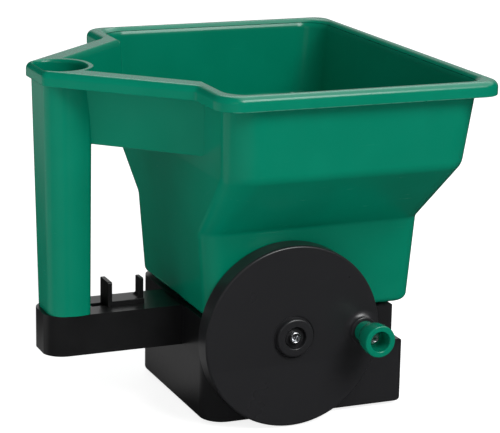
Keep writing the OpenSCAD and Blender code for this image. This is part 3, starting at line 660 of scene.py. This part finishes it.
def grip_outline(z, d, front, bulge=0.0):
    """Outline of the grip column; bulge swells its long sides a little."""
    w = between(z, GRIP_HALF) - d
    rear = between(z, GRIP_REAR_X) + d
    outline = rounded(box_corners(rear, front, w, w, GRIP_REAR_R - d, GRIP_FRONT_R - d / 2))
    if not bulge:
        return outline
    middle = (rear + GRIP_REAR_R + front - GRIP_FRONT_R) / 2
    half = (front - GRIP_FRONT_R - rear - GRIP_REAR_R) / 2
    long_side, steps = 8, 10
    swollen = []
    for (x, y), (nx, _) in zip(outline, outline[1:] + outline[:1]):
        swollen.append((x, y))
        if abs(nx - x) > long_side:
            for k in range(1, steps):
                px = x + (nx - x) * k / steps
                swollen.append((px, y + math.copysign(bulge * (1 - ((px - middle) / half) ** 2), y)))
    return swollen


def hollow_outline(d):
    """Outline of the opening of the grip, grown by d."""
    return rounded(box_corners(-132.7 - d, -105 + d, 19.4 + d, 19.4 + d, 9 + d, 17.5 + d))


def hopper_solids():
    """Rim with its hanging skirt, and bowl, trough and grip joined to it, all still full."""
    rim, low = rim_corners(), RIM_Z - SKIRT
    edge, mouth_edge, crown_in, crown_down = 0.7, 0.6, 4, 4.2
    skirt = [(rounded(inset(rim, edge * (1 - s))), low + edge * (1 - c)) for s, c in quarter(3)]
    crown = [(rounded(inset(rim, crown_in * (1 - c))), RIM_Z - crown_down * (1 - s)) for s, c in quarter(9)]
    piece = loft("hopper_moulding", skirt + crown)
    under = inset(rim, WALL)
    mouth = [(rounded(inset(under, -mouth_edge + mouth_edge * s)), low + mouth_edge * (1 - c) - 0.01)
             for s, c in quarter(3)]
    carved(piece, [loft("pocket", [(mouth[0][0], low - 2), *mouth, (rounded(under), RIM_Z - WALL)])])
    bowl = loft("bowl", [(bowl_outline(y, z, 0), z) for y, z in bowl_path(0)])
    bottom = [(TROUGH_Z + TROUGH_EDGE * (1 - c), TROUGH_EDGE * (1 - s)) for s, c in quarter(3)]
    trough = loft("trough", [(trough_outline(z, TROUGH_REAR, d), z) for z, d in [*bottom, (RIM_Z - 1, 0)]])
    grip = loft("grip", [(grip_outline(z, 0, GRIP_FRONT_X, GRIP_BULGE), z)
                         for z in (GRIP_Z, 110, 160, 204, RIM_Z - 1)])
    return carved(piece, [bowl, trough, grip], "UNION")


def hopper_hollows():
    """What is cut out: bowl, trough channel, lower and upper part of the grip, outlet and bore.

    The flared lips end a little above the rim, so that they cut through it.
    """
    lip_z, lip_up, lip_out = RIM_Z - 6, 6.3, 5.2
    lip = [(lip_z + lip_up * s, lip_out * (1 - c)) for s, c in quarter(8)]
    wall = [(bowl_outline(y, z, WALL), z) for y, z in bowl_path(WALL)[:-1]]
    inside = loft("inside", wall + [(lip_outline(z, out), z) for z, out in lip])
    bed, rear, brim_z, flare = TROUGH_Z + WALL, -112, RIM_Z - 4, 3.2
    brim = [(trough_outline(brim_z + 4 * s, rear, WALL, flare * (1 - c), TROUGH_FILLET), brim_z + 4.25 * s)
            for s, c in quarter(6)]
    channel = loft("channel", [(trough_outline(bed, rear, WALL, 0, TROUGH_FILLET), bed), *brim])
    carved(channel, [loft("tube", [(hollow_outline(3.7), z) for z in (165, RIM_Z + 1)])])
    low_front = -109.4
    low = loft("low", [(grip_outline(z, WALL, low_front), z) for z in (67.2, 172.3)])
    mouth_z, mouth_up, mouth_out = RIM_Z - 2.5, 2.7, 2.2
    mouth = [(hollow_outline(mouth_out * (1 - c)), mouth_z + mouth_up * s) for s, c in quarter(6)]
    high = loft("high", [(hollow_outline(0), 171.2), *mouth])
    outlet = block("outlet", -14, -2, 14, 60, 75)
    bore = cylinder("bore", 4.8, 60, 75, IMPELLER_AXIS, "Z")
    return [inside, channel, low, high, outlet, bore]


def hopper():
    piece = carved(hopper_solids(), hopper_hollows())
    post = [(0, 66.9), (4, 66.9), (4, 78.3), (3.5, 78.8), (1.75, 78.8), (1.75, 76.8), (0, 76.8)]
    carved(piece, [turned("post", post, (x, y, 0), "Z", 32) for x, y in HOPPER_POSTS], "UNION")
    dressed(smoothed(piece), "green_plastic", "housing", "hopper")


# Crank: disc with hub, groove, foot of the knob and ribs, and the waisted knob
CRANK_Z, KNOB_ARM = 56.9, 44.4
CRANK_AXIS, KNOB_AXIS = (0, 0, CRANK_Z), (KNOB_ARM, 0, CRANK_Z)
ON_CRANK = Matrix.Translation((0, 0, CRANK_Z * MM)) @ Matrix.Rotation(math.pi / 2, 4, "X")


def crank_disc(blades):
    edge = arc((54.3, 73.8), 1.5, 0, 90, 8)
    groove = [(13.4, 75.3), (13.0, 75.15), (12.7, 74.75), (12.3, 74.75), (12.0, 75.1),
              *arc((12.3, 75.7), 0.5, 210, 180, 3)]
    hub = [*arc((10.4, 77.0), 1.3, 0, 90, 7), (7.3, 78.3), *arc((7.3, 77.7), 0.6, 90, 180, 4),
           (6.7, 75.1), (5.5, 75.1)]
    back = [(5.5, 63.1), (5.8, 62.8), (9.7, 62.8), (10, 63.1), (10, 71.9), (10.9, 72.8), (33.5, 72.8),
            (33.5, 68.2), (33.7, 68), (35.3, 68), (35.5, 68.2), (35.5, 72.2), (36.1, 72.8),
            *arc((52.1, 71.6), 1.2, 90, 0, 4), (53.3, 63), (53.7, 62.4), (55.4, 62.4), (55.8, 62.8)]
    disc = turned("crank_cup", back + edge + groove + hub, CRANK_AXIS, n=192, closed=True)
    swell = [(8.2 + 4.4 * (1 - t) ** 2, 75.28 + 2.9 * t ** 1.2) for t in np.linspace(0, 1, 10)]
    foot = turned("foot", [(0, 74), (12.6, 74), *swell, (7.9, 78.4), (7.4, 78.5), (0, 78.5)], KNOB_AXIS)
    boss = turned("boss", [(0, 66), (6.7, 66), (7, 66.3), (7, 73), (0, 73)], KNOB_AXIS, n=64)
    ribs = blades.grown("ribs", "black_plastic", [], Count=8, First_angle=math.radians(22.5), Sweep=0.0,
                        Inner_radius=34.5 * MM, Length=20 * MM, Thickness=1.8 * MM, Height=6.2 * MM)
    ribs.data.transform(ON_CRANK @ Matrix.Translation((0, 0, 67 * MM)))
    carved(foot, [cylinder("limit", 54.9, 70, 90, CRANK_AXIS, n=192)], "INTERSECT")
    carved(disc, [foot, boss, ribs], "UNION")
    carved(disc, [cylinder("hole", 1.9, 60, 90, KNOB_AXIS)])
    dressed(smoothed(disc), "black_plastic", "crank", "crank_disc")


def knob():
    collar = [(2.55, 78.8), (5.8, 78.8), *arc((6.0, 79.4), 0.5, -80, -10, 3),
              (6.6, 81.5), (6.85, 84), (6.9, 85.6)]
    bell = [(7.1, 86.6), (7.7, 87.7), (8.4, 89), (9.0, 90.8), (9.45, 93), (9.65, 95.5), (9.7, 98),
            *arc((8.8, 100.4), 0.9, 0, 90, 7)]
    recess = [*arc((6.9, 100.5), 0.8, 90, 178, 5), (6.0, 95), (5.8, 90.6), (5.2, 90), (2.55, 90)]
    piece = turned("knob_moulding", collar + bell + recess, KNOB_AXIS, n=112, closed=True)
    dressed(smoothed(piece), "green_plastic", "knob", "knob")


def impeller(blades):
    profile = [(0, 8), (45.6, 8), (46, 8.4), (46, 10.3), (45.7, 10.6), (44.9, 10.6), (44.2, 10), (12.5, 10),
               (9.5, 11), (7.6, 13.2), (6.9, 17), (6.5, 25), (6, 25.6), (0, 25.6)]
    piece = turned("impeller_moulding", profile, IMPELLER_AXIS, "Z", 128)
    vanes = blades.grown("vanes", "black_plastic", [], Count=6, First_angle=0.0, Inner_radius=6 * MM,
                         Length=39 * MM, Thickness=1.8 * MM, Height=13 * MM, Sweep=math.radians(24))
    vanes.data.transform(Matrix.Translation((IMPELLER_AXIS[0] * MM, 0, 9 * MM)))
    bore = cylinder("bore", 3, 5, 30, IMPELLER_AXIS, "Z")
    carved(carved(piece, [vanes], "UNION"), [bore])
    dressed(smoothed(piece), "black_plastic", "impeller", "impeller")


# Screws: node, body, turn, head radius and height, shank and optional tip radius and length, places
HEAD_OUT = (math.pi / 2, 0.0, 0.0)
HEAD_DOWN = (math.pi, 0.0, 0.0)
SLIDER_X = -82
SCREWS = [
    ("hub_screw", "housing", HEAD_OUT, (3.6, 2.2), (1.5, 0.8), None, [(0, -76, CRANK_Z)]),
    ("knob_spindle", "crank", HEAD_OUT, (3.6, 2.4), (2.5, 11.8), (1.9, 14.5), [(KNOB_ARM, -90.3, CRANK_Z)]),
    ("hopper_screws", "housing", HEAD_DOWN, (3.4, 2.2), (1.75, 13), None,
     [(x, y, 63.3) for x, y in HOPPER_POSTS]),
    ("cover_screws", "housing", HEAD_DOWN, (3, 1.9), (1.5, 14), None,
     [(x, y, 2.7) for x in (-37, 67) for y in (-48, 48)]),
    ("gear_cover_screws", "housing", HEAD_DOWN, (2.6, 1.7), (1.3, 12), None,
     [(16, 19.5, 27), (27, -26.5, 27)]),
    ("grip_screw", "housing", HEAD_DOWN, (3.8, 2.5), (1.9, 26), None, [(-121, 0, 55)]),
    ("impeller_screw", "impeller", HEAD_DOWN, (3.2, 1.8), (2.0, 0.6), None, [(IMPELLER_AXIS[0], 0, 7.2)]),
    ("slider_screw", "shutter", HEAD_DOWN, (2.6, 1.6), (1.3, 5.4), None, [(SLIDER_X, 0, 60.4)]),
]


def screws(recipe):
    for node, body, turn, head, shank, tip, places in SCREWS:
        tip = tip or (shank[0] * 0.9, 0.05)
        piece = recipe.grown(node + "_driven", "steel", places, Turn=turn,
                             Head_radius=head[0] * MM, Head_height=head[1] * MM,
                             Shank_radius=shank[0] * MM, Shank_length=shank[1] * MM,
                             Tip_radius=tip[0] * MM, Tip_length=tip[1] * MM)
        if node == "impeller_screw":
            washer = [(2, 7.95), (5.2, 7.95), (5.5, 7.7), (5.5, 7.4), (5.2, 7.2), (2, 7.2)]
            joined(piece, turned("washer", washer, IMPELLER_AXIS, "Z", 64, closed=True))
        dressed(smoothed(piece), "steel", body, node)


def hub_washer():
    profile = [(1.6, 75.2), (5.7, 75.2), (5.9, 75.4), (5.9, 75.8), (5.7, 76), (1.6, 76)]
    ring = turned("hub_washer_ring", profile, CRANK_AXIS, closed=True)
    dressed(smoothed(ring), "black_matte", "housing", "hub_washer")


# Housing: the solids with softened edges and a rounded bottom edge
def housing():
    piece = softened("housing_moulding", "base_housing", 0.5)
    corners, edge = box_corners(-48.8, 80.7, 61, 61, 14.2, 5), 1.8
    trim = [(rounded(inset(corners, edge * (1 - s))), 2.49 + edge * (1 - c)) for s, c in quarter(5)]
    wide = rounded(box_corners(-133.7, 90, 70, 70, 0.5, 5))
    trim += [(rounded(inset(corners, -0.4)), 4.4), (wide, 9), (wide, 80)]
    carved(piece, [loft("trim", trim)], "INTERSECT")
    dressed(smoothed(piece), "black_plastic", "housing", "base_housing")


# Slider and shutter
def plate(name, x0, x1, w, z0, z1, r=0.6, edge=0.25):
    """Flat plate with rounded corners and a small rounded top edge."""
    corners = box_corners(x0, x1, w, w, r, r)
    top = [(rounded(inset(corners, edge * (1 - c)), 4), z1 - edge * (1 - s)) for s, c in quarter(3)]
    return loft(name, [(rounded(corners, 4), z0), *top])


def upright(name, x0, x1, w, z0, z1):
    """Upright fin: a plate stood on its end, so that its upper corners and its front rim are rounded."""
    piece = plate(name, z0 - 3, z1, w, x0, x1, 1.1, 0.3)
    for vertex in piece.data.vertices:
        height, y, x = vertex.co
        vertex.co = (x, y, height)
    return carved(outward(piece), [block("below", x0 - 5, x1 + 5, 20, z0 - 9, z0)])


def slider():
    """Two fins on a low base, the front one joined to it by a fillet."""
    low, top, fin_top, rear, front = 65.1, 68.0, 80.4, -92.9, -69.2
    piece = plate("slider_fins", rear, front, 6.4, low, top)
    fillet, root = 3.6, -71.0
    curve = arc((root - fillet, top + fillet), fillet, 0, -90, 8)
    web = crosswise("web", [(root, top - 0.6), *curve, (root - fillet, top - 0.6)], 4.3)
    neck = block("neck", -88, -76, 3, 62.5, 66)
    fins = [upright("rear_fin", rear, -90.2, 7.4, low, fin_top),
            upright("front_fin", -71.4, front, 4.4, low, fin_top)]
    carved(piece, [*fins, web, neck], "UNION")
    carved(piece, [cylinder("bore", 1.3, 60, 65.9, (SLIDER_X, 0, 0), "Z", 32)])
    dressed(smoothed(piece), "black_plastic", "shutter", "finger_slider")


def shutter_strip():
    """The shutter plate, whose strip is thin where it lies on the arm."""
    piece = softened("shutter_strip", "gate_plate", 0.2)
    above = [(-100, 65.5), (-49, 65.5), (-45, 66.4), (-45, 68), (-100, 68)]
    carved(piece, [crosswise("above", above, 10)])
    dressed(smoothed(piece), node_slot["gate_plate"], "shutter", "gate_plate")


hopper()
housing()
slider()
shutter_strip()
blade = blade_recipe()
crank_disc(blade)
knob()
impeller(blade)
screws(screw_recipe())
hub_washer()
for node, name, width, body in (
        ("bottom_cover", "bottom_pan", 0.4, "housing"), ("gear_cover", "gear_plate", 0.3, "housing"),
        ("slider_clip", "slider_keeper", 0.3, "shutter")):
    dressed(softened(name, node, width), node_slot[node], body, node)


# Floor, light and camera
WHITE = (1.0, 1.0, 1.0)


def studio_floor():
    """Pale paper that keeps the shadow, is near white to the camera and sends light back on the left.

    In reflections it is dark, apart from the part behind on the left and a strip beside the arm.
    """
    half = 9000
    floor = made("studio_floor", [(-half, -half, 0), (half, -half, 0), (half, half, 0), (-half, half, 0)],
                 [(0, 1, 2, 3)])
    f = Finish("floor_paper")
    seen, mirrored = f.rays()
    x, y = f.split(f.place())[:2]
    behind, left = y.smooth(-0.05, 0.35), (0.0 - x).smooth(0.24, 0.42)
    beside = y.smooth(-0.02, 0.03) * (0.2 - y).smooth(0.0, 0.1) * (0.0 - x).smooth(0.03, 0.08)
    paper = f.mix(f.noise(3.0, 2.0), (0.59, 0.59, 0.59), (0.61, 0.61, 0.61))
    bare = f.add("ShaderNodeBsdfDiffuse", None, paper)
    sent_back = (1.0 - seen) * (0.0 - x).smooth(0.1, 0.22) * 0.9
    glow = f.add("ShaderNodeEmission", None, WHITE, seen * 0.85 + sent_back)
    shown = f.add("ShaderNodeAddShader", None, bare, glow)
    image = f.add("ShaderNodeEmission", None, WHITE, behind * left * 0.36 + beside * 0.25 + 0.02)
    f.shown(f.add("ShaderNodeMixShader", None, mirrored, shown, image))
    f.owner.cycles.emission_sampling = "NONE"
    floor.data.materials.append(f.owner)


def sky():
    """White to the camera, an even grey for diffuse light, and in reflections bright on the right."""
    world = bpy.data.worlds.new("sky")
    bpy.context.scene.world = world
    world.cycles.sampling_method = "NONE"
    f = Finish("sky", world)
    seen, mirrored = f.rays()
    x, y, z = f.split(f.place())
    right = x.smooth(-0.12, 0.24)
    image = 0.01 + right * (0.5 * y.smooth(0.2, 0.8) + 3.2 * z.smooth(0.42, 0.72))
    levels = (0.35, image, 1.0)
    around, room, white = (f.add("ShaderNodeBackground", None, WHITE, level) for level in levels)
    unseen = f.add("ShaderNodeMixShader", None, mirrored, around, room)
    f.shown(f.add("ShaderNodeMixShader", None, seen, unseen, white))


# Lamps: place, width and watts, all turned to one point of the object
LAMP_TARGET = (0, 0, 0.12)
LAMPS = {
    "key_light": ((0.55, -1.55, 1.5), 0.9, 29.0),
    "rim_light": ((0.6, 1.3, 1.5), 1.1, 2.5),
    "fill_light": ((-0.9, -1.7, 0.8), 0.9, 1.2),
}


def softbox(name, place, width, power):
    lamp = bpy.data.lights.new(name, "AREA")
    lamp.shape, lamp.size, lamp.energy = "SQUARE", width, power
    thing = added(name, lamp)
    thing.location = place
    thing.rotation_mode = "QUATERNION"
    thing.rotation_quaternion = (Vector(LAMP_TARGET) - Vector(place)).to_track_quat("-Z", "Y")


# Camera, fitted to the photograph
PHOTO_WIDTH, PHOTO_HEIGHT, SENSOR = 500.0, 433.0, 36.0
FOCAL_PIXELS, CENTRE_X, CENTRE_Y = 2012.5919, 250.0961, 216.6092
CAMERA_PLACE = (-0.46508998, -1.11052103, 0.42595846)
CAMERA_ANGLES = (-22.81575, 14.61787, 1.0530)


def camera():
    data = bpy.data.cameras.new("camera")
    data.sensor_width = SENSOR
    data.lens = FOCAL_PIXELS * SENSOR / PHOTO_WIDTH
    data.shift_x = -(CENTRE_X - PHOTO_WIDTH / 2) / PHOTO_WIDTH
    data.shift_y = (CENTRE_Y - PHOTO_HEIGHT / 2) / PHOTO_WIDTH
    data.clip_start, data.clip_end = 0.05, 50.0
    thing = added("camera", data)
    azimuth, elevation, roll = (math.radians(angle) for angle in CAMERA_ANGLES)
    back = Vector((math.sin(azimuth) * math.cos(elevation), -math.cos(azimuth) * math.cos(elevation),
                   math.sin(elevation)))
    level = (-back).cross(Vector((0, 0, 1))).normalized()
    upward = level.cross(-back)
    right = math.cos(roll) * level + math.sin(roll) * upward
    up = math.cos(roll) * upward - math.sin(roll) * level
    turn = Matrix((right, up, back)).transposed()
    thing.matrix_world = Matrix.Translation(CAMERA_PLACE) @ turn.to_4x4()
    bpy.context.scene.camera = thing


studio_floor()
sky()
for name, (place, width, power) in LAMPS.items():
    softbox(name, place, width, power)
camera()
bpy.context.scene.view_settings.view_transform = "Standard"
